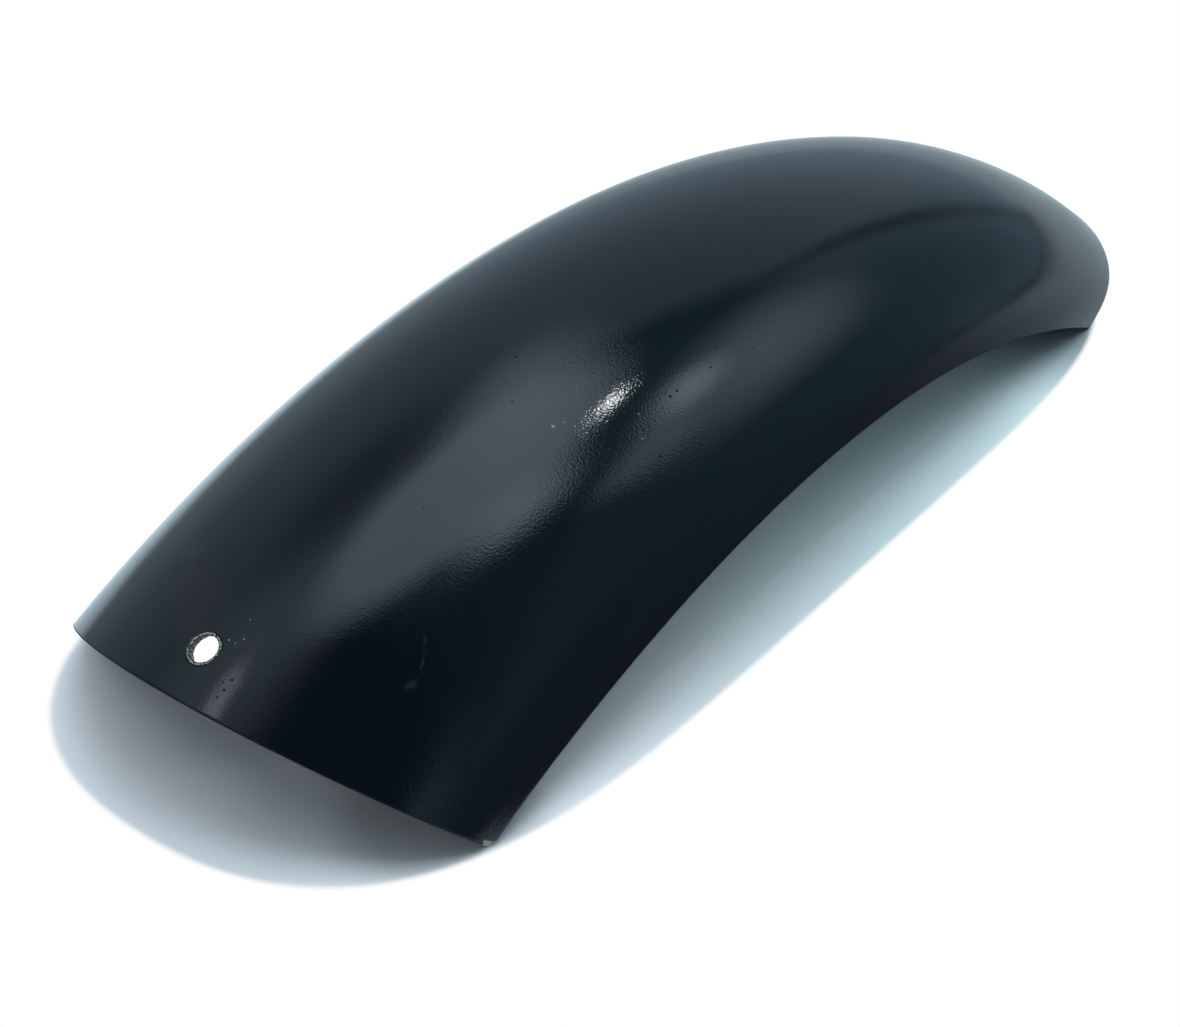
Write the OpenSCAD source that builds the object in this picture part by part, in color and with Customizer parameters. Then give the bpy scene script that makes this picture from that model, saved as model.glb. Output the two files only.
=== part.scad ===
// Short rear fender for a motorcycle: one glass-fibre shell, curved over the wheel and crowned
// from side to side. It lies as it would on a bench, on its two corners at the bolt end and on
// the cut edge of its tail. +X runs from the bolt end to the tail, +Z is up, and the floor is z = 0.

/* [Arc over the wheel] */
// Radius of the crown line, from the wheel's axle
crown_line_r = 365; // [300:1:450]
// Distance along the floor between the two corners of one side edge
side_span = 275; // [200:1:320]

/* [Section] */
// Width over the two side edges
fender_w = 120; // [110:1:180]
// Half angle of the crown arc
crown_half_angle = 45; // [30:1:55]
// Outer radius of each shoulder
shoulder_r = 45; // [20:1:50]
// Slope of the skirts, from level
skirt_slope = 66; // [58:1:85]
// Height of the straight skirt below each shoulder
skirt_h = 4; // [1:0.5:20]
// Thickness of the laminate
wall = 2; // [1.5:0.1:4]

/* [Bolt end] */
// Lean of the cut at the bolt end, outward from upright
bolt_end_lean = 45.5; // [20:0.5:60]
// Diameter of the drilled bolt hole
bolt_hole_d = 6.4; // [4:0.1:12]
// Distance along the crown from the cut to the middle of the hole
bolt_hole_inset = 12; // [9:0.5:40]

/* [Chipped corner] */
// Length of the chip along the side edge
chip_side_l = 2.2; // [0.5:0.1:4]
// Height of the chip up the skirt
chip_h = 2.4; // [0.5:0.1:4]
// Depth of the chip into the laminate
chip_depth = 0.6; // [0.2:0.1:1.4]

/* [Hidden] */
$fn = 180;
gelcoat_black = [0.07, 0.08, 0.09];

// The section lies in a plane through the axle: x is the distance from the axle, y is across.
crown_r = shoulder_r
    + (fender_w / 2 - shoulder_r * sin(skirt_slope) - skirt_h / tan(skirt_slope)) / sin(crown_half_angle);
crown_centre_x = crown_line_r - crown_r;
shoulder_centre = [crown_centre_x + (crown_r - shoulder_r) * cos(crown_half_angle),
                   (crown_r - shoulder_r) * sin(crown_half_angle)];
side_edge_r = shoulder_centre.x + shoulder_r * cos(skirt_slope) - skirt_h;

// The axle lies under the floor, because the arc is a short one.
axle_drop = sqrt(side_edge_r ^ 2 - (side_span / 2) ^ 2);
tail_x = sqrt(crown_line_r ^ 2 - axle_drop ^ 2);
tail_angle = acos(axle_drop / crown_line_r);

// Distance of the bolt end's cutting plane from the axle, and the angle where it cuts the crown
bolt_end_offset = side_span / 2 * cos(bolt_end_lean) - axle_drop * sin(bolt_end_lean);
bolt_end_angle = bolt_end_lean + asin(bolt_end_offset / crown_line_r);
bolt_end_x = -crown_line_r * sin(bolt_end_angle);
corner_angle = asin(side_span / 2 / side_edge_r);
hole_angle = bolt_end_angle - bolt_hole_inset / crown_line_r * 180 / PI;

// The middle of the whole length is put over the origin.
middle_x = (tail_x + bolt_end_x) / 2;
spare_angle = 6;
reach = 2 * crown_line_r;

// Direction in the section at an angle from the crown
function ray(a) = [cos(a), sin(a)];

// Wedge of the section between two angles, seen from a centre
module wedge(centre, from, to) {
    middle = (from + to) / 2;
    polygon([centre, centre + reach * ray(from), centre + reach * ray(middle), centre + reach * ray(to)]);
}

// Part of a ring as thick as the wall, between two angles
module arc_band(centre, outer_r, from, to) {
    intersection() {
        difference() {
            translate(centre) circle(outer_r);
            translate(centre) circle(outer_r - wall);
        }
        wedge(centre, from, to);
    }
}

// Straight skirt, cut level at the side edge
module skirt_band() {
    slope_in = wall / sin(skirt_slope);
    run = skirt_h / tan(skirt_slope);
    top = shoulder_centre + shoulder_r * ray(skirt_slope);
    inner_top = shoulder_centre + (shoulder_r - wall) * ray(skirt_slope);
    polygon([top, top + [-skirt_h, run], top + [-skirt_h, run - slope_in], inner_top]);
}

module half_section() {
    arc_band([crown_centre_x, 0], crown_r, 0, crown_half_angle);
    arc_band(shoulder_centre, shoulder_r, crown_half_angle, skirt_slope);
    skirt_band();
}

module section() {
    half_section();
    mirror([0, 1]) half_section();
}

// The section swept round the axle, with some length to spare at both ends
module swept_shell() {
    sweep = 2 * (tail_angle + spare_angle);
    translate([0, 0, -axle_drop])
        rotate([90, 0, 0])
            rotate_extrude(angle = sweep, start = 90 - sweep / 2) section();
}

// Everything below the floor: it cuts the tail flat, so that the whole tail edge rests
module below_floor() {
    translate([-reach, -reach, -2 * reach]) cube(2 * reach);
}

// Everything beyond the cut at the bolt end
module beyond_bolt_end() {
    translate([-side_span / 2, 0, 0])
        rotate([0, -bolt_end_lean, 0])
            translate([-2 * reach, -reach, -reach]) cube(2 * reach);
}

// The bolt hole, drilled square to the crown
module bolt_hole() {
    translate([0, 0, -axle_drop])
        rotate([0, -hole_angle, 0])
            translate([0, 0, crown_line_r - 3 * wall]) cylinder(h = 6 * wall, d = bolt_hole_d);
}

// The gelcoat skin has chipped off the tip of one corner, down to the laminate.
// The pocket is set out on the skirt: x along the side edge, y up the skirt, z out of it.
module chipped_corner() {
    spare = 3 * chip_h;
    lean = chip_side_l / 2;
    translate([0, 0, -axle_drop])
        rotate([0, -corner_angle, 0])
            translate([0, -fender_w / 2, side_edge_r])
                rotate([skirt_slope, 0, 0])
                    translate([0, 0, -chip_depth])
                        linear_extrude(spare)
                            polygon([[-spare, -spare], [chip_side_l, -spare], [chip_side_l, 0],
                                     [chip_side_l - lean, chip_h], [-spare, chip_h]]);
}

module fender_shell() {
    color(gelcoat_black)
        translate([-middle_x, 0, 0])
            difference() {
                swept_shell();
                below_floor();
                beyond_bolt_end();
                bolt_hole();
                chipped_corner();
            }
}

fender_shell();
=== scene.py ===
"""Looks of the motorcycle rear fender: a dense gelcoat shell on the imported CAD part, a plain
white floor, a soft studio room and the photograph's camera. Lengths are in millimetres until
a mesh or an object is made, and angles are in degrees where a name says so."""

import math

import bpy
import numpy as np
from mathutils import Matrix, Vector, noise

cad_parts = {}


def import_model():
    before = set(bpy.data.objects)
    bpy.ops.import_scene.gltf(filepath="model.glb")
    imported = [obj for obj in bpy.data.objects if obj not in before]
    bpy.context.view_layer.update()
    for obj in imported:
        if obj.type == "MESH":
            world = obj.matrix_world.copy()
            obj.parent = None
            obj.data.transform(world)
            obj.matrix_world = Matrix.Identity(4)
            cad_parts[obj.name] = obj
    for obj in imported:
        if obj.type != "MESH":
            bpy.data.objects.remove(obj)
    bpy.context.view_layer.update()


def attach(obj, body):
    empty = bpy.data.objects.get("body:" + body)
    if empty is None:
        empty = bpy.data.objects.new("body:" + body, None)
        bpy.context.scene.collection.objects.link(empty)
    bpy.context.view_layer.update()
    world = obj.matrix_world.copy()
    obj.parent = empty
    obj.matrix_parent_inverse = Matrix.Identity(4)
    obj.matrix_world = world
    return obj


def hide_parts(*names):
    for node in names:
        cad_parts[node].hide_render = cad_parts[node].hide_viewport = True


MM = 0.001

# Driving sizes, as in part.scad
CROWN_LINE_R = 365.0
SIDE_SPAN = 275.0
FENDER_W = 120.0
CROWN_HALF_ANGLE = math.radians(45.0)
SHOULDER_R = 45.0
SKIRT_SLOPE = math.radians(66.0)
SKIRT_H = 4.0
WALL = 2.0
BOLT_END_LEAN = math.radians(45.5)
BOLT_HOLE_R = 3.2
BOLT_HOLE_INSET = 12.0
CHIP_SIDE_L = 2.2
CHIP_H = 2.4
CHIP_DEPTH = 0.6

# Sizes that follow from them
CROWN_R = SHOULDER_R + (
    FENDER_W / 2 - SHOULDER_R * math.sin(SKIRT_SLOPE) - SKIRT_H / math.tan(SKIRT_SLOPE)
) / math.sin(CROWN_HALF_ANGLE)
CROWN_CENTRE = CROWN_LINE_R - CROWN_R
SHOULDER_CENTRE = np.array(
    [
        CROWN_CENTRE + (CROWN_R - SHOULDER_R) * math.cos(CROWN_HALF_ANGLE),
        (CROWN_R - SHOULDER_R) * math.sin(CROWN_HALF_ANGLE),
    ]
)
SIDE_EDGE_R = SHOULDER_CENTRE[0] + SHOULDER_R * math.cos(SKIRT_SLOPE) - SKIRT_H
AXLE_DROP = math.sqrt(SIDE_EDGE_R**2 - (SIDE_SPAN / 2) ** 2)
TAIL_X = math.sqrt(CROWN_LINE_R**2 - AXLE_DROP**2)
BOLT_END_OFFSET = SIDE_SPAN / 2 * math.cos(BOLT_END_LEAN) - AXLE_DROP * math.sin(
    BOLT_END_LEAN
)
BOLT_END_ANGLE = BOLT_END_LEAN + math.asin(BOLT_END_OFFSET / CROWN_LINE_R)
MIDDLE_X = (TAIL_X - CROWN_LINE_R * math.sin(BOLT_END_ANGLE)) / 2
HOLE_ANGLE = BOLT_END_ANGLE - BOLT_HOLE_INSET / CROWN_LINE_R
HOLE_MIDDLE = (
    -CROWN_LINE_R * math.sin(HOLE_ANGLE) - MIDDLE_X,
    0.0,
    CROWN_LINE_R * math.cos(HOLE_ANGLE) - AXLE_DROP,
)

# Lengths along the outer surface: half the section, and the crown line from end to end
CROWN_ARC = CROWN_R * CROWN_HALF_ANGLE
SHOULDER_ARC = SHOULDER_R * (SKIRT_SLOPE - CROWN_HALF_ANGLE)
SKIRT_L = SKIRT_H / math.sin(SKIRT_SLOPE)
HALF_SECTION = CROWN_ARC + SHOULDER_ARC + SKIRT_L
CROWN_LINE = CROWN_LINE_R * (BOLT_END_ANGLE + math.acos(AXLE_DROP / CROWN_LINE_R))

# Mesh: the radius of the trimmed edges, the rows that turn over it, and the steps between rows
EDGE_R = 0.45
EDGE_ROWS = (0.0, 0.04, 0.13, 0.26)
FINE_STEP = 0.32
FINE_REACH = 4.0
COARSE_STEP = 2.0
# Round the hole the grid is finer. Its square ring of this number becomes the rim of the hole.
HOLE_STEP = 0.4
HOLE_REACH = 7.2
HOLE_RING = 7
CUT_FACE_LAYERS = 4
HOLE_WALL_LAYERS = 5

# Hand-made roughness of the laminate. Each noise has its own seed.
LONG_WAVE_H, LONG_WAVE_L, LONG_WAVE_SEED = 0.10, 70.0, 5.0
SHORT_WAVE_H, SHORT_WAVE_L, SHORT_WAVE_SEED = 0.012, 14.0, 9.0
CALM_REACH = 9.0
MAT_H, MAT_L, MAT_SEED = 0.16, 7.0, 31.0
RAGGED_L, RAGGED_SEED = 0.9, 12.0
GRAIN_L, GRAIN_SEED = 0.45, 44.0
SAW_H, SAW_L, SAW_SEED = 0.05, 0.8, 70.0

# The drill broke the laminate out on the inside, and chipped the skin round the hole.
BREAKOUT = 0.35
RIM_CHIP_W = 0.60
RIM_CHIP_DEPTH = 0.22
# The corner's chip is ragged, and reaches a little further than the CAD's pocket.
CORNER_CHIP_L = CHIP_SIDE_L + 0.5
CORNER_CHIP_H = CHIP_H + 0.25
CORNER_CHIP_TAPER = 0.4


def metres(lengths):
    """Lengths or a place in metres, from millimetres."""
    return tuple(c * MM for c in lengths)


def smooth(x, low, high):
    """0 below low, 1 above high, and a smooth step between them."""
    t = np.clip((np.asarray(x, float) - low) / (high - low), 0, 1)
    return t * t * (3 - 2 * t)


def spread(low, high, step):
    """Evenly spaced values from low to high, no further apart than step, without the last."""
    count = max(1, math.ceil((high - low) / step - 1e-6))
    return list(np.linspace(low, high, count + 1)[:-1])


def crown_rows():
    """Distances along the crown line, from the bolt end to the tail."""
    hole = BOLT_HOLE_INSET
    rows = list(EDGE_ROWS)
    rows += spread(EDGE_R, FINE_REACH, FINE_STEP)
    rows += spread(FINE_REACH, hole - HOLE_REACH, FINE_STEP)
    rows += spread(hole - HOLE_REACH, hole + HOLE_REACH, HOLE_STEP)
    rows += spread(hole + HOLE_REACH, CROWN_LINE - FINE_REACH, COARSE_STEP)
    rows += spread(CROWN_LINE - FINE_REACH, CROWN_LINE - EDGE_R, 2 * FINE_STEP)
    rows += [CROWN_LINE - EDGE_R] + [CROWN_LINE - e for e in reversed(EDGE_ROWS)]
    return np.array(rows)


def section_rows():
    """Distances over the section, from one side edge to the other, with 0 on the crown line."""
    half = spread(HOLE_REACH, HALF_SECTION - FINE_REACH, COARSE_STEP)
    half += spread(HALF_SECTION - FINE_REACH, HALF_SECTION - EDGE_R, FINE_STEP)
    half += [HALF_SECTION - EDGE_R] + [HALF_SECTION - e for e in reversed(EDGE_ROWS)]
    middle = spread(-HOLE_REACH, HOLE_REACH, HOLE_STEP)
    return np.array([-h for h in reversed(half)] + middle[1:] + half)


def section_point(s, depth):
    """(distance from the axle, y) and the outward normal at s over the section, at a depth."""
    a, side = np.abs(s), np.sign(s)
    crown = np.minimum(a, CROWN_ARC) / CROWN_R
    shoulder = np.clip(a - CROWN_ARC, 0, SHOULDER_ARC) / SHOULDER_R
    share = np.clip(a - CROWN_ARC - SHOULDER_ARC, 0, SKIRT_L) / SKIRT_L
    angle = crown + shoulder
    on_crown = a <= CROWN_ARC
    radius = np.where(on_crown, CROWN_R, SHOULDER_R) - depth
    x = np.where(on_crown, CROWN_CENTRE, SHOULDER_CENTRE[0]) + radius * np.cos(angle)
    y = np.where(on_crown, 0, SHOULDER_CENTRE[1]) + radius * np.sin(angle)
    drop = share * (SKIRT_H - depth * math.cos(SKIRT_SLOPE))
    x = x - drop
    y = y + drop / math.tan(SKIRT_SLOPE)
    return x, side * y, np.cos(angle), side * np.sin(angle)


def end_angles(r):
    """Angles from the top, about the axle, where radius r meets the bolt end and the tail."""
    return (
        np.arcsin(-BOLT_END_OFFSET / r) - BOLT_END_LEAN,
        np.arccos(AXLE_DROP / r),
    )


def place(t, s, depth):
    """Point and outward normal at t along the crown line and s over the section, at a depth."""
    r, y, nr, ny = section_point(s, depth)
    low, high = end_angles(r)
    angle = low + t / CROWN_LINE * (high - low)
    sin, cos = np.sin(angle), np.cos(angle)
    point = np.stack([r * sin - MIDDLE_X, y, r * cos - AXLE_DROP], -1)
    normal = np.stack([nr * sin, ny, nr * cos], -1)
    return point, normal


def fbm(points, wavelength, octaves=1, seed=0.0):
    """Smooth noise from -1 to 1 at each point, with the longest wavelength in millimetres."""
    out = np.zeros(len(points))
    for k in range(octaves):
        scale = 2.0**k / wavelength
        offset = Vector((seed + 17.3 * k, 3.1 * seed, -seed))
        out += [noise.noise(Vector(p) * scale + offset) / 2**k for p in points]
    return out


def shell_grid():
    """Grid over the shell: distances t and s, the ring of each point round the hole, and the
    grid place of the hole's middle. Rings by the hole are pulled from squares into circles."""
    t_rows, s_rows = crown_rows(), section_rows()
    i0 = int(np.abs(t_rows - BOLT_HOLE_INSET).argmin())
    j0 = int(np.abs(s_rows).argmin())
    t, s = np.meshgrid(t_rows, s_rows, indexing="ij")
    di, dj = np.meshgrid(np.arange(len(t_rows)) - i0, np.arange(len(s_rows)) - j0, indexing="ij")
    ring = np.maximum(abs(di), abs(dj))
    last = int(HOLE_REACH / HOLE_STEP)
    near = (ring >= HOLE_RING) & (ring < last)
    theta = np.arctan2(dj, di)
    radius = BOLT_HOLE_R + (ring - HOLE_RING) * HOLE_STEP
    pull = 1 - smooth(ring, HOLE_RING + 2, last)
    t = np.where(near, t + pull * (BOLT_HOLE_INSET + radius * np.cos(theta) - t), t)
    s = np.where(near, s + pull * (radius * np.sin(theta) - s), s)
    return t, s, ring, (i0, j0)


def round_edges(outer, inner):
    """The skin and the inside turn into the cut face over a small radius at all four edges."""
    for axis, rows in ((0, crown_rows()), (1, section_rows())):
        for end in (0, -1):
            distance = abs(rows - rows[end])
            turn = EDGE_R - np.sqrt(np.maximum(EDGE_R**2 - (EDGE_R - distance) ** 2, 0))
            turn = np.where(distance < EDGE_R, turn, 0)
            face = np.take(inner, end, axis) - np.take(outer, end, axis)
            face = face / np.linalg.norm(face, axis=-1, keepdims=True)
            move = np.expand_dims(turn, (1 - axis, 2)) * np.expand_dims(face, axis)
            outer = outer + move
            inner = inner - move
    return outer, inner


def shell_faces(t, s):
    """Points of the skin and of the inside, with each skin point's chip and trimmed edge."""
    outer, normal = place(t, s, 0.0)
    flat = outer.reshape(-1, 3)
    ragged = fbm(flat, RAGGED_L, 2, RAGGED_SEED).reshape(t.shape)
    grain = fbm(flat, GRAIN_L, 2, GRAIN_SEED).reshape(t.shape)
    from_hole = np.hypot(t - BOLT_HOLE_INSET, s)

    open_out = (BREAKOUT + 0.3 * ragged) * (1 - smooth(from_hole, BOLT_HOLE_R, HOLE_REACH))
    open_out = open_out / np.maximum(from_hole, BOLT_HOLE_R)
    inner, _ = place(t + open_out * (t - BOLT_HOLE_INSET), s + open_out * s, WALL)

    # Waves in the skin and the mat's lumps on the inside fade out at the edges.
    from_trim = np.minimum.reduce([t, CROWN_LINE - t, HALF_SECTION - abs(s)])
    from_edge = np.minimum(from_trim, from_hole - BOLT_HOLE_R)
    waves = LONG_WAVE_H * fbm(flat, LONG_WAVE_L, 2, LONG_WAVE_SEED)
    waves = waves + SHORT_WAVE_H * fbm(flat, SHORT_WAVE_L, 2, SHORT_WAVE_SEED)
    waves = waves.reshape(t.shape) * smooth(from_edge, 0.0, CALM_REACH)
    lumps = (MAT_H * fbm(flat, MAT_L, 3, MAT_SEED)).reshape(t.shape)
    lumps = lumps * smooth(from_edge, 0.3, 4.0)

    # The skin's chips: one corner, and the drilled rim
    up_skirt = HALF_SECTION + s
    corner_side = CORNER_CHIP_L * (1 - CORNER_CHIP_TAPER * up_skirt / CHIP_H) + 0.35 * ragged
    corner = smooth(corner_side - t, 0.0, 0.3)
    corner = corner * smooth(CORNER_CHIP_H + 0.45 * ragged - up_skirt, 0.0, 0.3)
    rim = smooth(BOLT_HOLE_R + RIM_CHIP_W + 0.30 * ragged - from_hole, -0.1, 0.25)
    sink = corner * (CHIP_DEPTH + 0.18 * grain) + rim * (RIM_CHIP_DEPTH + 0.14 * grain)

    outer = outer + normal * (waves - sink)[..., None]
    inner = inner + normal * (waves + lumps)[..., None]
    outer, inner = round_edges(outer, inner)
    trimmed = 1 - smooth(from_trim, 0.25, 0.55)
    return outer, inner, np.maximum(corner, rim), trimmed


def cut_layers(outside, inside, layers):
    """Rows of points between two loops, slightly rough, as a saw or a drill leaves them."""
    rows = []
    through = inside - outside
    for k in range(1, layers):
        row = outside + through * (k / layers)
        out = np.cross(np.roll(row, 1, 0) - np.roll(row, -1, 0), through)
        out /= np.linalg.norm(out, axis=1, keepdims=True) + 1e-9
        rows.append(row + out * (SAW_H * fbm(row, SAW_L, 2, SAW_SEED))[:, None])
    return rows


def loops(index, hole):
    """Grid points round the shell's border and round the hole, each with its count of layers."""
    border = [index[0, :], index[1:, -1], index[-1, -2::-1], index[-2:0:-1, 0]]
    (i0, j0), r = hole, HOLE_RING
    around = [(i, j0 - r) for i in range(i0 - r + 1, i0 + r + 1)]
    around += [(i0 + r, j) for j in range(j0 - r + 1, j0 + r + 1)]
    around += [(i, j0 + r) for i in range(i0 + r - 1, i0 - r - 1, -1)]
    around += [(i0 - r, j) for j in range(j0 + r - 1, j0 - r - 1, -1)]
    rim = np.array([index[i, j] for i, j in around])
    return ((np.concatenate(border), CUT_FACE_LAYERS), (rim, HOLE_WALL_LAYERS))


def shell_mesh():
    """The whole shell as one closed mesh, with its waves, rounded edges, chips and hole."""
    t, s, ring, hole = shell_grid()
    outer, inner, chip, trimmed = shell_faces(t, s)
    count = t.size
    verts = [outer.reshape(-1, 3), inner.reshape(-1, 3)]
    index = np.arange(count).reshape(t.shape)
    open_quad = (ring[:-1, :-1] <= HOLE_RING) & (ring[1:, 1:] <= HOLE_RING)
    open_quad &= (ring[1:, :-1] <= HOLE_RING) & (ring[:-1, 1:] <= HOLE_RING)
    corners = [index[:-1, :-1], index[1:, :-1], index[1:, 1:], index[:-1, 1:]]
    quads = np.stack(corners, -1)[~open_quad]
    faces = [quads, quads[:, ::-1] + count]
    materials = [0] * len(quads) + [1] * len(quads)

    # Cut faces: strips from the skin's border to the inside's border
    base = 2 * count
    for loop, layers in loops(index, hole):
        rings = [loop]
        for row in cut_layers(verts[0][loop], verts[1][loop], layers):
            verts.append(row)
            rings.append(np.arange(base, base + len(row)))
            base += len(row)
        rings.append(loop + count)
        for low, high in zip(rings[:-1], rings[1:]):
            strip = np.stack([low, high, np.roll(high, -1), np.roll(low, -1)], -1)
            faces.append(strip)
            materials += [2] * len(strip)

    points = np.concatenate(verts)
    points[:, 2] = np.maximum(points[:, 2], 0.0)
    used = np.unique(np.concatenate([f.ravel() for f in faces]))
    renumber = -np.ones(len(points), int)
    renumber[used] = np.arange(len(used))
    mesh = bpy.data.meshes.new("gelcoat_shell")
    polygons = renumber[np.concatenate(faces)]
    mesh.from_pydata((points[used] * MM).tolist(), [], polygons.tolist())
    mesh.polygons.foreach_set("material_index", materials)
    mesh.polygons.foreach_set("use_smooth", [True] * len(materials))
    for name, on_skin in (("chip", chip), ("edge", trimmed)):
        values = np.zeros(len(points), np.float32)
        values[:count] = on_skin.reshape(-1)
        attribute = mesh.attributes.new(name, "FLOAT", "POINT")
        attribute.data.foreach_set("value", values[used])
    mesh.validate()
    mesh.update()
    return mesh


class Nodes:
    """A node tree with short ways to add and join nodes."""

    def __init__(self, tree):
        self.tree = tree
        tree.nodes.clear()

    def add(self, kind, settings=None, **inputs):
        """A new node. An input is given by its name, with _ for a space, or as i0, i1 and so on."""
        node = self.tree.nodes.new(kind)
        for key, value in (settings or {}).items():
            setattr(node, key, value)
        for key, value in inputs.items():
            numbered = key[0] == "i" and key[1:].isdigit()
            slot = int(key[1:]) if numbered else key.replace("_", " ")
            self.put(node.inputs[slot], value)
        return node

    def put(self, socket, value):
        """Link a socket to the value if it is one, or set it to the value."""
        if isinstance(value, bpy.types.NodeSocket):
            self.tree.links.new(value, socket)
        else:
            socket.default_value = value

    def math(self, operation, a, b=0.0, clamp=False):
        settings = {"operation": operation, "use_clamp": clamp}
        return self.add("ShaderNodeMath", settings, i0=a, i1=b).outputs[0]

    def vec(self, operation, a, b=(0, 0, 0)):
        node = self.add("ShaderNodeVectorMath", {"operation": operation}, i0=a, i1=b)
        gives_number = operation in ("DOT_PRODUCT", "LENGTH", "DISTANCE")
        return node.outputs["Value" if gives_number else 0]

    def ramp(self, value, low, high, to_low=0.0, to_high=1.0):
        """A smooth step from to_low, where value is low, to to_high, where it is high."""
        node = self.add(
            "ShaderNodeMapRange",
            {"interpolation_type": "SMOOTHSTEP"},
            Value=value,
            From_Min=low,
            From_Max=high,
            To_Min=to_low,
            To_Max=to_high,
        )
        return node.outputs[0]

    def mix(self, factor, a, b):
        """Colours a and b mixed by factor."""
        node = self.add("ShaderNodeMix", {"data_type": "RGBA"})
        self.put(node.inputs[0], factor)
        self.put(node.inputs[6], a)
        self.put(node.inputs[7], b)
        return node.outputs[2]

    def level(self, factor, a, b):
        """Numbers a and b mixed by factor."""
        node = self.add("ShaderNodeMix", {"data_type": "FLOAT"})
        self.put(node.inputs[0], factor)
        self.put(node.inputs[2], a)
        self.put(node.inputs[3], b)
        return node.outputs[0]

    def scatter(self, vector, spacing, radius, share_left_out):
        """Small round dots, a share of them left out. Spacing and radius are in millimetres."""
        cell = self.add(
            "ShaderNodeTexVoronoi", {"feature": "F1"}, Vector=vector, Scale=1 / (spacing * MM)
        )
        pick = self.add("ShaderNodeSeparateColor", None, i0=cell.outputs["Color"])
        size = self.math("MULTIPLY", pick.outputs[1], radius / spacing)
        past = self.math("SUBTRACT", cell.outputs["Distance"], size)
        dot = self.ramp(past, 0.0, 0.4 * radius / spacing, 1.0, 0.0)
        kept = self.math("GREATER_THAN", pick.outputs[0], share_left_out)
        return self.math("MULTIPLY", dot, kept)

    def to_segment(self, point, start, end):
        """Distance in metres from a point to the line between two places in millimetres."""
        a, b = Vector(start) * MM, Vector(end) * MM
        line = b - a
        off = self.vec("SUBTRACT", point, tuple(a))
        along = self.vec("DOT_PRODUCT", off, tuple(line))
        share = self.math("DIVIDE", along, line.length_squared, clamp=True)
        near = self.add("ShaderNodeVectorMath", {"operation": "SCALE"}, i0=tuple(line), Scale=share)
        return self.vec("DISTANCE", off, near.outputs[0])

    def away(self, point, where):
        """Distance in metres from a point to a place in millimetres."""
        return self.vec("DISTANCE", point, metres(where))

    def spot(self, point, where, radius):
        """1 near a place and 0 away from it. Place and radius are in millimetres."""
        return self.ramp(self.away(point, where), 0.7 * radius * MM, 1.5 * radius * MM, 1.0, 0.0)

    def noise(self, vector, wavelength, detail=2.0, roughness=0.5):
        """Noise from about 0 to 1, with its wavelength in millimetres."""
        node = self.add(
            "ShaderNodeTexNoise",
            None,
            Vector=vector,
            Scale=1 / (wavelength * MM),
            Detail=detail,
            Roughness=roughness,
        )
        return node.outputs[0]


def new_material(name):
    """A new material and its node tree."""
    material = bpy.data.materials.new(name)
    material.use_nodes = True
    return material, Nodes(material.node_tree)


def rgb(r, g, b):
    """An opaque colour from linear red, green and blue."""
    return (r, g, b, 1.0)


# Colours of the shell
GELCOAT = rgb(0.0010, 0.0070, 0.0135)
GELCOAT_LIGHT = rgb(0.0020, 0.0078, 0.0135)
BROWN_TINT = rgb(0.026, 0.016, 0.010)
LAMINATE = rgb(0.92, 0.86, 0.72)
LAMINATE_DARK = rgb(0.05, 0.05, 0.05)
DUST = rgb(0.45, 0.45, 0.42)
RESIN = rgb(0.085, 0.090, 0.085)
MAT_FIBRE = rgb(0.24, 0.24, 0.21)
SAWN_DARK = rgb(0.018, 0.022, 0.024)
SAWN_LIGHT = rgb(0.075, 0.075, 0.07)

# Roughness of the gelcoat where it is smoothest and least smooth, and of what breaks it
SKIN_ROUGH = (0.045, 0.075)
SCUFF_ROUGH, PIT_ROUGH, CHIP_ROUGH = 0.45, 0.9, 0.75

# Orange peel: wavelength in millimetres, and depth of the bump in metres
PEEL_L = 0.55
PEEL_DEPTH = 0.000032

# Scattered marks: spacing and radius in millimetres, and the share left out
SMALL_PITS = (6.5, 0.24, 0.50)
LOOSE_SPECKS = (12.0, 0.14, 0.75)
BEAD_L = 0.4
HOLE_SURROUND_R = 8.0

# Marks on the skin, as places on the part in millimetres
SCRATCH = ((-149.8, -34.3, 35.6), (-153.1, -36.7, 32.8), (-156.8, -38.2, 30.3))
SMUDGE = ((-157.6, -38.0, 30.1), (-159.1, -37.4, 29.9))
BROWN_LINE = ((-172.0, 8.0, 36.0), (-161.0, 22.0, 37.0))
PITS = (
    ((-68.7, -36.7, 54.6), 0.26),
    ((-66.2, -36.7, 54.9), 0.24),
    ((-54.0, -37.5, 55.7), 0.20),
    ((-48.4, -35.1, 57.6), 0.18),
    ((-81.6, -43.5, 47.8), 0.28),
    ((-79.3, -35.1, 54.0), 0.22),
    ((-180.5, -10.1, 31.5), 0.24),
    ((-182.8, -10.1, 30.5), 0.22),
    ((-184.6, -9.9, 29.7), 0.20),
    ((-181.8, -8.8, 31.2), 0.16),
)
SPECKS = (
    ((-96.4, -25.2, 55.8), 0.34),
    ((-93.9, -26.1, 55.9), 0.22),
    ((-174.7, -3.7, 35.0), 0.20),
    ((-173.1, -6.4, 35.5), 0.17),
    ((-174.6, -5.4, 34.9), 0.16),
    ((-169.3, -4.6, 37.3), 0.15),
    ((-78.5, -35.1, 54.1), 0.20),
    ((-82.2, -39.0, 51.0), 0.20),
)


def pits(n, at):
    """Scattered small pits and the few that stand out."""
    pit = n.scatter(at, *SMALL_PITS)
    for where, radius in PITS:
        pit = n.math("MAXIMUM", pit, n.spot(at, where, radius))
    return pit


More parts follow.
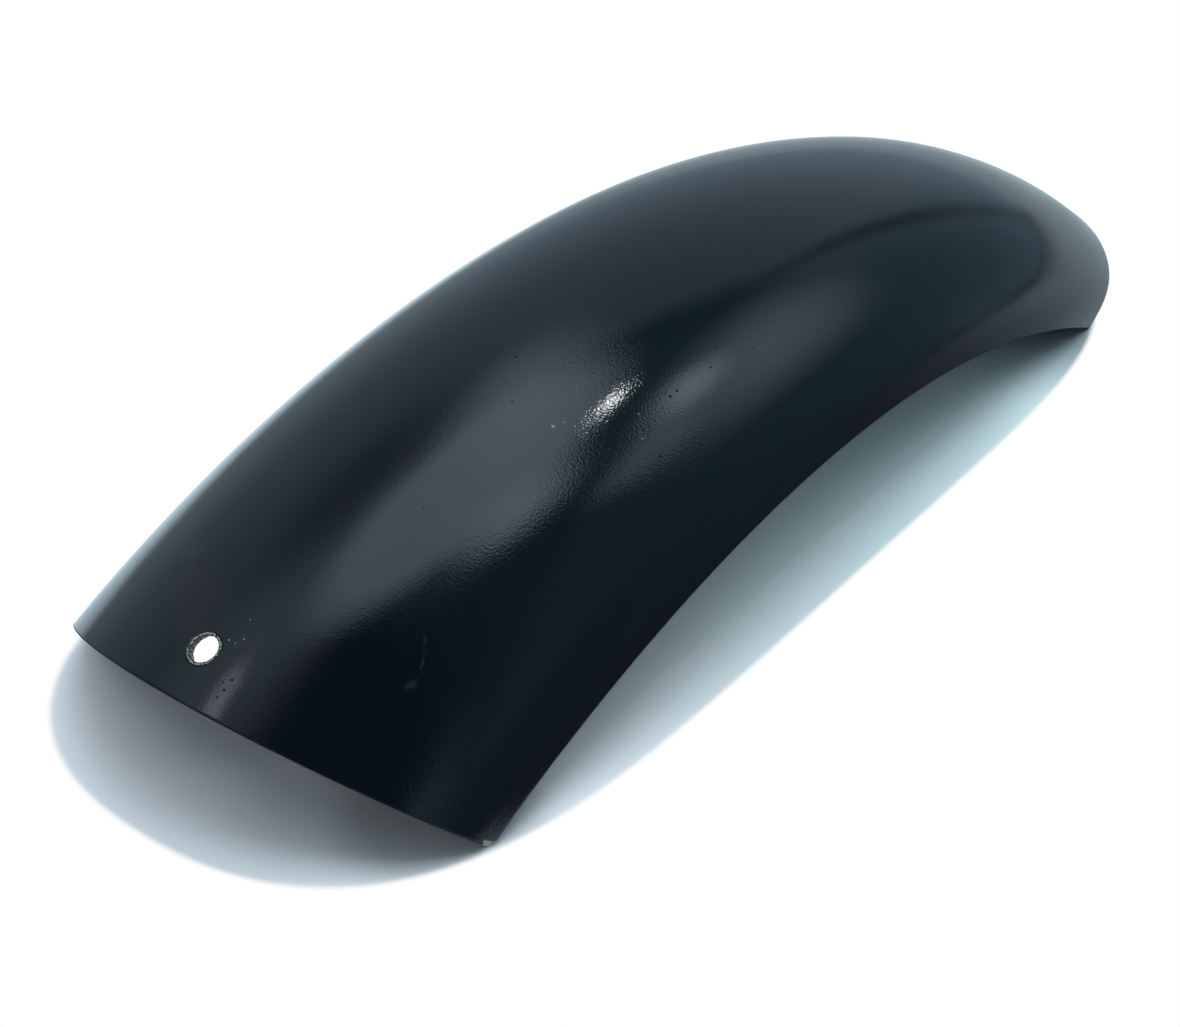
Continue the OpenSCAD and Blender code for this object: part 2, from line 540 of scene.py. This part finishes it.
def specks(n, at):
    """Scattered pale specks and the few that stand out."""
    shifted = n.vec("ADD", at, (0.7, 0.3, 0.1))
    speck = n.scatter(shifted, *LOOSE_SPECKS)
    for where, radius in SPECKS:
        speck = n.math("MAXIMUM", speck, n.spot(at, where, radius))
    return speck


def streak(n, at):
    """A broken faint scratch that ends in a smudge."""
    scratch = 0.0
    for start, end in zip(SCRATCH[:-1], SCRATCH[1:]):
        line = n.ramp(n.to_segment(at, start, end), 0.10 * MM, 0.6 * MM, 0.6, 0.0)
        scratch = n.math("MAXIMUM", scratch, line)
    scratch = n.math("MULTIPLY", scratch, n.ramp(n.noise(at, 2.2, 3.0), 0.38, 0.6))
    smudge = n.ramp(n.to_segment(at, *SMUDGE), 0.0, 1.3 * MM, 0.7, 0.0)
    return n.math("MAXIMUM", scratch, smudge)


def bare_laminate(n, at):
    """Pale grains of the laminate in the chips: close together, and in a ring round the hole."""
    bead = n.noise(at, BEAD_L, 2.0)
    from_hole = n.away(at, HOLE_MIDDLE)
    by_hole = n.math("LESS_THAN", from_hole, HOLE_SURROUND_R * MM)
    ring = n.ramp(from_hole, (BOLT_HOLE_R + 0.12) * MM, (BOLT_HOLE_R + 0.3) * MM)
    ring = n.math("MULTIPLY", ring, n.ramp(bead, 0.42, 0.52))
    bead = n.level(by_hole, n.ramp(bead, 0.28, 0.44), ring)
    return n.mix(bead, LAMINATE_DARK, LAMINATE)


def gelcoat_material():
    """Black gelcoat with orange peel, pits, pale specks and pale laminate in its chips."""
    material, n = new_material("black_gelcoat")
    at = n.add("ShaderNodeTexCoord").outputs["Object"]
    chip = n.add("ShaderNodeAttribute", {"attribute_name": "chip"}).outputs["Fac"]
    edge = n.add("ShaderNodeAttribute", {"attribute_name": "edge"}).outputs["Fac"]
    fine = n.noise(at, 0.7, 3.0)
    uneven = n.math("MULTIPLY", n.math("SUBTRACT", fine, 0.5), 0.5)
    chipped = n.ramp(n.math("ADD", chip, uneven), 0.4, 0.55)
    pit, speck, scratch = pits(n, at), specks(n, at), streak(n, at)

    skin = n.mix(n.noise(at, 30.0, 4.0), GELCOAT, GELCOAT_LIGHT)
    brown = n.ramp(n.to_segment(at, *BROWN_LINE), 1.0 * MM, 9.0 * MM, 0.7, 0.0)
    brown = n.math("MULTIPLY", brown, n.ramp(n.noise(at, 6.0, 3.0), 0.3, 0.65))
    skin = n.mix(brown, skin, BROWN_TINT)
    skin = n.mix(n.math("MULTIPLY", scratch, 0.04), skin, DUST)
    skin = n.mix(speck, skin, DUST)
    colour = n.mix(chipped, skin, bare_laminate(n, at))

    rough = n.ramp(n.noise(at, 18.0, 4.0), 0.3, 0.7, *SKIN_ROUGH)
    rough = n.level(n.math("MAXIMUM", speck, scratch), rough, SCUFF_ROUGH)
    rough = n.level(n.math("MAXIMUM", pit, edge), rough, PIT_ROUGH)
    rough = n.level(chipped, rough, CHIP_ROUGH)

    # Orange peel comes and goes over the skin, and the chips have a coarser grain.
    patchy = n.ramp(n.noise(at, 40.0, 2.0), 0.38, 0.62, 0.35, 1.0)
    peel = n.math("MULTIPLY", n.noise(at, PEEL_L, 1.5, 0.4), patchy)
    height = n.math("SUBTRACT", peel, n.math("MULTIPLY", pit, 2.2))
    bump = n.add("ShaderNodeBump", None, Strength=1.0, Distance=PEEL_DEPTH, Height=height)
    grain = n.add(
        "ShaderNodeBump",
        None,
        Strength=n.math("MULTIPLY", chipped, 0.9),
        Distance=0.0002,
        Height=fine,
        Normal=bump.outputs[0],
    )
    shader = n.add(
        "ShaderNodeBsdfPrincipled",
        None,
        Base_Color=colour,
        Roughness=rough,
        IOR=1.5,
        Normal=grain.outputs[0],
    )
    n.add("ShaderNodeOutputMaterial", None, Surface=shader.outputs[0])
    return material


def inside_material():
    """Dark resin over the glass mat, as hand-laid laminate looks from behind."""
    material, n = new_material("resin_inside")
    at = n.add("ShaderNodeTexCoord").outputs["Object"]
    lay = n.noise(at, 5.0, 5.0, 0.6)
    strands = n.add("ShaderNodeTexVoronoi", {"feature": "F1"}, Vector=at, Scale=900.0)
    thread = n.add(
        "ShaderNodeTexWave",
        {"wave_type": "BANDS"},
        Vector=at,
        Scale=260.0,
        Distortion=14.0,
        Detail=3.0,
        Detail_Scale=2.0,
    )
    fibre = n.math("MULTIPLY", n.ramp(thread.outputs["Fac"], 0.55, 0.95), n.ramp(lay, 0.35, 0.65))
    colour = n.mix(n.ramp(lay, 0.3, 0.75, 0.0, 0.4), RESIN, MAT_FIBRE)
    colour = n.mix(fibre, colour, MAT_FIBRE)
    rough = n.ramp(lay, 0.3, 0.7, 0.38, 0.62)
    height = n.math("ADD", lay, n.math("MULTIPLY", strands.outputs["Distance"], 0.15))
    bump = n.add("ShaderNodeBump", None, Strength=0.8, Distance=0.0004, Height=height)
    shader = n.add(
        "ShaderNodeBsdfPrincipled", None, Base_Color=colour, Roughness=rough, Normal=bump.outputs[0]
    )
    n.add("ShaderNodeOutputMaterial", None, Surface=shader.outputs[0])
    return material


def cut_edge_material():
    """Dark sawn laminate on the trimmed edges, and pale grain in the drilled hole."""
    material, n = new_material("cut_laminate")
    at = n.add("ShaderNodeTexCoord").outputs["Object"]
    grain = n.noise(at, 0.9, 4.0, 0.6)
    colour = n.mix(n.ramp(grain, 0.35, 0.7), SAWN_DARK, SAWN_LIGHT)
    by_hole = n.math("LESS_THAN", n.away(at, HOLE_MIDDLE), HOLE_SURROUND_R * MM)
    bead = n.ramp(n.noise(at, BEAD_L, 2.0), 0.42, 0.58)
    colour = n.mix(by_hole, colour, n.mix(bead, LAMINATE_DARK, LAMINATE))
    bump = n.add("ShaderNodeBump", None, Strength=0.7, Distance=0.0001, Height=grain)
    shader = n.add(
        "ShaderNodeBsdfPrincipled", None, Base_Color=colour, Roughness=0.7, Normal=bump.outputs[0]
    )
    n.add("ShaderNodeOutputMaterial", None, Surface=shader.outputs[0])
    return material


def eye_rays(n):
    """1 for camera, glossy and transmission rays, and 1 for glossy rays alone."""
    path = n.add("ShaderNodeLightPath")
    gloss = path.outputs["Is Glossy Ray"]
    seen = n.math("ADD", path.outputs["Is Camera Ray"], gloss, clamp=True)
    return n.math("ADD", seen, path.outputs["Is Transmission Ray"], clamp=True), gloss


# The zone of the floor that shows the object's shadow: a rounded rectangle round the object
SHADOW_MIDDLE_X = -30.0
SHADOW_BOLT_END_L = 171.0
SHADOW_TAIL_L = 190.0
SHADOW_HALF_W = 69.0
SHADOW_POWER_L = 5.0
SHADOW_POWER_W = 2.3
SHADOW_FADE = 1.2
# Painted light under the bolt hole, as if light fell through it: a short line on the floor, and the
# reach round it
PAINTED_HOLE_LIGHT = ((-152.6, 31.5, 0.0), (-149.4, 35.5, 0.0))
PAINTED_HOLE_LIGHT_R = 4.0

# The paper in that zone for light, and for the eye, where it is brighter than white: it changes
# along the object between the two places that follow each colour. For the eye the shadow's tint
# is painted in, warmer by the bolt end and greener by the tail, and painted shade darkens the
# paper under the tail.
PAPER = rgb(0.85, 0.85, 0.85)
PAPER_BY_BOLT_END = rgb(2.10, 1.93, 1.88)
PAPER_BY_TAIL = rgb(1.97, 2.05, 1.96)
PAPER_CHANGES = (-130.0, 20.0)
PAINTED_SHADE_UNDER_TAIL = rgb(0.60, 0.66, 0.68)
PAINTED_SHADE_SPAN_UNDER_TAIL = (60.0, 115.0)
# The deep shadow by the corner that carries the bolt end, painted darker into the paper: its middle
# on the floor, and its reach
CORNER_SHADOW = (-160.0, -45.0, 0.0)
CORNER_SHADOW_R = 18.0
CORNER_SHADOW_SHARE = 0.4
PAINTED_CORNER_SHADE = rgb(0.4, 0.4, 0.4)

# How bright the white floor shows in the gloss: by the object, further off to the sides, behind,
# in front, and past its end
GLOSS_NEAR, GLOSS_FAR, GLOSS_BEHIND, GLOSS_FRONT, GLOSS_PAST = 1.0, 0.50, 0.37, 0.13, 0.13
GLOSS_TINT = (0.80, 1.0, 1.13)
# Near the object it dims between two places along the object, to the level after them: painted
# shade of the floor by the tail, as the gloss shows it.
GLOSS_DIMS = (60.0, 150.0)
GLOSS_SHADE_BY_TAIL = 0.58
# Where near turns to far, in front and behind, in half sizes of the shadow zone
NEAR_ENDS_IN_FRONT = (1.0, 1.3)
NEAR_ENDS_BEHIND = (1.4, 2.4)
# The floor's end in metres, and directions as y over distance: 1 is straight behind
FLOOR_ENDS = (0.72, 0.80)
END_SHOWS = (0.03, 0.12)
FRONT_ENDS = (-0.75, -0.30)
BEHIND_STARTS = (0.50, 0.95)
FLOOR_R = 2900.0


def shadow_zone(n, x, y):
    """1 on the border of the shadow zone, less inside it and more outside it."""
    along = n.math("SUBTRACT", x, SHADOW_MIDDLE_X * MM)
    tailward = n.math("GREATER_THAN", along, 0.0)
    length = n.level(tailward, SHADOW_BOLT_END_L * MM, SHADOW_TAIL_L * MM)
    along = n.math("DIVIDE", along, length)
    across = n.math("DIVIDE", y, SHADOW_HALF_W * MM)
    along = n.math("POWER", n.math("ABSOLUTE", along), SHADOW_POWER_L)
    across = n.math("POWER", n.math("ABSOLUTE", across), SHADOW_POWER_W)
    out = n.math("ADD", along, across)
    return n.math("POWER", out, 2 / (SHADOW_POWER_L + SHADOW_POWER_W))


def paper_with_painted_shade(n, position, x):
    """Colour of the paper that shows the shadow to the eye, with painted shade: its tint changes
    along the object, it is painted darker under the tail, and darker still round the corner that
    carries the bolt end.
    """
    colour = n.mix(n.ramp(x, *metres(PAPER_CHANGES)), PAPER_BY_BOLT_END, PAPER_BY_TAIL)
    # Painted shade: the paper is darker under the tail.
    colour = n.mix(n.ramp(x, *metres(PAINTED_SHADE_SPAN_UNDER_TAIL)), colour, PAINTED_SHADE_UNDER_TAIL)
    # Painted shade: the paper darkens round the corner that carries the bolt end.
    deep = n.spot(position, CORNER_SHADOW, CORNER_SHADOW_R)
    return n.mix(n.math("MULTIPLY", deep, CORNER_SHADOW_SHARE), colour, PAINTED_CORNER_SHADE)


def floor_in_gloss(n, position, x, y, out):
    """How bright the white floor shows in the gloss."""
    distance = n.vec("LENGTH", position)
    side = n.math("DIVIDE", y, distance)
    far = n.level(n.ramp(side, *FRONT_ENDS), GLOSS_FRONT, GLOSS_FAR)
    far = n.level(n.ramp(side, *BEHIND_STARTS), far, GLOSS_BEHIND)
    past = n.math("MULTIPLY", n.ramp(distance, *FLOOR_ENDS), n.ramp(side, *END_SHOWS, 1.0, 0.0))
    far = n.level(past, far, GLOSS_PAST)
    # Painted shade in the gloss: the floor by the tail shows darker.
    near = n.ramp(x, *metres(GLOSS_DIMS), GLOSS_NEAR, GLOSS_SHADE_BY_TAIL)
    behind = n.ramp(y, -20.0 * MM, 20.0 * MM)
    ends = (n.level(behind, a, b) for a, b in zip(NEAR_ENDS_IN_FRONT, NEAR_ENDS_BEHIND))
    return n.level(n.ramp(out, *ends), near, far)


def floor():
    """White floor. It shows plain white, and the object's shadow in a zone round the object, where
    painted shade darkens the paper, and a painted light shows plain white under the bolt hole.
    """
    mesh = bpy.data.meshes.new("floor")
    reach = FLOOR_R * MM
    corners = [(x * reach, y * reach, 0) for x, y in ((-1, -1), (1, -1), (1, 1), (-1, 1))]
    mesh.from_pydata(corners, [], [(0, 1, 2, 3)])
    floor_object = bpy.data.objects.new("floor", mesh)
    bpy.context.scene.collection.objects.link(floor_object)

    material, n = new_material("white_floor")
    at = n.add("ShaderNodeNewGeometry")
    position = at.outputs["Position"]
    split = n.add("ShaderNodeSeparateXYZ", None, i0=position)
    x, y = split.outputs[0], split.outputs[1]
    out = shadow_zone(n, x, y)
    fade = SHADOW_FADE / SHADOW_HALF_W / 2
    bare = n.ramp(out, 1 - fade, 1 + fade)
    # Painted light: under the bolt hole the floor shows plain white, as if light fell through the
    # hole.
    through_hole = n.to_segment(position, *PAINTED_HOLE_LIGHT)
    hole_light_painted = n.ramp(through_hole, (PAINTED_HOLE_LIGHT_R - 0.5) * MM, (PAINTED_HOLE_LIGHT_R + 1.5) * MM, 1.0, 0.0)
    bare = n.math("MAXIMUM", bare, hole_light_painted)

    seen, gloss = eye_rays(n)
    tint = n.mix(gloss, rgb(1, 1, 1), rgb(*GLOSS_TINT))
    brightness = n.level(gloss, 1.0, floor_in_gloss(n, position, x, y, out))
    white = n.add("ShaderNodeEmission", None, Color=tint, Strength=brightness)
    colour = n.mix(seen, PAPER, paper_with_painted_shade(n, position, x))
    paper = n.add("ShaderNodeBsdfDiffuse", None, Color=colour)
    plain = n.math("MULTIPLY", bare, seen)
    top = n.add("ShaderNodeMixShader", None, i0=plain, i1=paper.outputs[0], i2=white.outputs[0])
    clear = n.add("ShaderNodeBsdfTransparent")
    below = at.outputs["Backfacing"]
    both = n.add("ShaderNodeMixShader", None, i0=below, i1=top.outputs[0], i2=clear.outputs[0])
    n.add("ShaderNodeOutputMaterial", None, Surface=both.outputs[0])
    mesh.materials.append(material)


def direction(azimuth, elevation):
    """Unit vector. Azimuth 0 is towards -Y and 90 towards +X; elevation is above the horizon."""
    a, e = math.radians(azimuth), math.radians(elevation)
    return Vector((math.sin(a) * math.cos(e), -math.cos(a) * math.cos(e), math.sin(e)))


def soft_patch(n, towards, azimuth, elevation, half_w, half_h, softness, turn=0.0):
    """1 in an elliptical patch of the room and 0 outside it, with a soft rim. Sizes in degrees."""
    centre = direction(azimuth, elevation)
    right = Vector((0, 0, 1)).cross(centre).normalized()
    over = centre.cross(right)
    sin, cos = math.sin(math.radians(turn)), math.cos(math.radians(turn))
    depth = n.math("MAXIMUM", n.vec("DOT_PRODUCT", towards, tuple(centre)), 0.02)
    squares = []
    for axis, half in ((right * cos + over * sin, half_w), (over * cos - right * sin, half_h)):
        off = n.vec("DOT_PRODUCT", towards, tuple(axis / math.tan(math.radians(half))))
        off = n.math("DIVIDE", off, depth)
        squares.append(n.math("MULTIPLY", off, off))
    reach = n.math("SQRT", n.math("ADD", *squares))
    return n.ramp(reach, 1 - softness, 1 + softness, 1.0, 0.0)


# Radius of the room in metres, and the brightness of its bare walls
ROOM_R = 3.0
ROOM_LEVEL = 0.39
# The studio room round the object, set after what the gloss shows in the photograph.
# Each wall, window or lamp is a soft patch: azimuth, elevation, half width, half height,
# softness, turn and brightness. A later patch covers an earlier one.
ROOM = {
    "left back wall": (-120, 25, 32, 38, 0.5, 0, 0.1),
    "left softbox": (-80, 25, 30, 15, 0.3, 0, 0.15),
    "front softbox": (-30, 12, 25, 9, 0.3, 0, 0.35),
    "front wall": (37, 30, 33, 60, 0.15, -15, 0.15),
    "left wall": (-55, 52, 42, 30, 0.2, -25, 0.07),
    "beam": (30, 42, 36, 9, 0.25, 40, 0.2),
    "right wall": (60, 22, 18, 40, 0.6, 60, 0.22),
    "back wall": (197, 65, 32, 18, 0.8, -10, 0.7),
    "back corner": (168, 55, 13, 11, 0.9, 0, 0.22),
    "back window": (226, 63, 4, 2.5, 0.6, 0, 2.0),
    "window glow": (60, 40, 12, 10, 0.9, -40, 1.1),
    "side window": (42, 48, 4, 6, 0.8, 35, 1.1),
    "window": (57, 49, 4, 4, 0.9, 0, 2.4),
    "door frame": (90, 19, 2, 19, 0.9, 10, 0.15),
    "skirting": (76, -1.5, 16, 1.3, 0.9, 0, 0.2),
    "ceiling": (105, 80, 20, 15, 0.3, 40, 1.6),
    "bright ceiling": (100, 73, 18, 8, 0.9, -30, 1.9),
    "skylight": (35, 70, 5, 7.5, 0.8, 5, 2.2),
    "lamp": (68, 62, 1.1, 1.1, 0.8, 0, 38),
}
# Tints of the light: of the bare room, of its patches, and of those that differ
WALL_TINT = (0.80, 1.05, 1.28)
ROOM_TINT = (0.80, 1.0, 1.13)
DARK_TINT = (0.60, 1.08, 1.30)
OTHER_TINTS = {
    "front wall": DARK_TINT,
    "beam": DARK_TINT,
    "right wall": DARK_TINT,
    "back window": (1.0, 1.0, 1.15),
    "lamp": (0.96, 1.0, 0.98),
}


def room():
    """Soft studio surroundings: a large sphere that lights the object and shows in its gloss."""
    bpy.ops.mesh.primitive_uv_sphere_add(segments=64, ring_count=32, radius=ROOM_R)
    sphere = bpy.context.object
    sphere.name = "studio_room"
    material, n = new_material("studio_room")
    towards = n.vec("NORMALIZE", n.add("ShaderNodeTexCoord").outputs["Object"])
    light = rgb(*(ROOM_LEVEL * t for t in WALL_TINT))
    for name, (*where, brightness) in ROOM.items():
        tint = OTHER_TINTS.get(name, ROOM_TINT)
        light = n.mix(soft_patch(n, towards, *where), light, rgb(*(brightness * t for t in tint)))
    emit = n.add("ShaderNodeEmission", None, Color=light, Strength=1.0)
    n.add("ShaderNodeOutputMaterial", None, Surface=emit.outputs[0])
    # Rays find so large a light by themselves, and the render is quicker without sampling it.
    material.cycles.emission_sampling = "NONE"
    sphere.data.materials.append(material)
    sphere.visible_camera = False
    sphere.visible_shadow = False


# Grey of the world for light that leaves the room
WORLD_GREY = rgb(0.4, 0.4, 0.4)


def world():
    """White behind everything for the eye, and a grey for other light."""
    made = bpy.data.worlds.new("studio")
    bpy.context.scene.world = made
    made.use_nodes = True
    n = Nodes(made.node_tree)
    seen, _ = eye_rays(n)
    colour = n.mix(seen, WORLD_GREY, rgb(1, 1, 1))
    back = n.add("ShaderNodeBackground", None, Color=colour, Strength=1.0)
    n.add("ShaderNodeOutputWorld", None, Surface=back.outputs[0])


# The camera, fitted to the photograph
CAMERA_AT = (-383.098, -249.855, 282.669)
CAMERA_AZIMUTH = -53.2188
CAMERA_ELEVATION = 34.4310
CAMERA_ROLL = 0.8713
FOCAL_PX = 1981.08
PHOTO_W = 1180.0
SENSOR_W = 36.0


def camera():
    """The photograph's camera."""
    a, e, r = (math.radians(x) for x in (CAMERA_AZIMUTH, CAMERA_ELEVATION, CAMERA_ROLL))
    back = Vector((math.sin(a) * math.cos(e), -math.cos(a) * math.cos(e), math.sin(e)))
    right = Vector((math.cos(a), math.sin(a), 0))
    up = back.cross(right)
    x_axis = math.cos(r) * right + math.sin(r) * up
    y_axis = math.cos(r) * up - math.sin(r) * right
    data = bpy.data.cameras.new("camera")
    data.sensor_fit = "HORIZONTAL"
    data.sensor_width = SENSOR_W
    data.lens = FOCAL_PX / PHOTO_W * SENSOR_W
    data.clip_start = 0.01
    data.clip_end = 20.0
    cam = bpy.data.objects.new("camera", data)
    bpy.context.scene.collection.objects.link(cam)
    turned = Matrix((x_axis, y_axis, back)).transposed().to_4x4()
    cam.matrix_world = Matrix.Translation(Vector(CAMERA_AT) * MM) @ turned
    bpy.context.scene.camera = cam


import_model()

shell = bpy.data.objects.new("gelcoat_shell", shell_mesh())
bpy.context.scene.collection.objects.link(shell)
for made in (gelcoat_material(), inside_material(), cut_edge_material()):
    shell.data.materials.append(made)
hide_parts("fender_shell")
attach(shell, "root")

floor()
room()
world()
camera()
bpy.context.scene.view_settings.view_transform = "Standard"
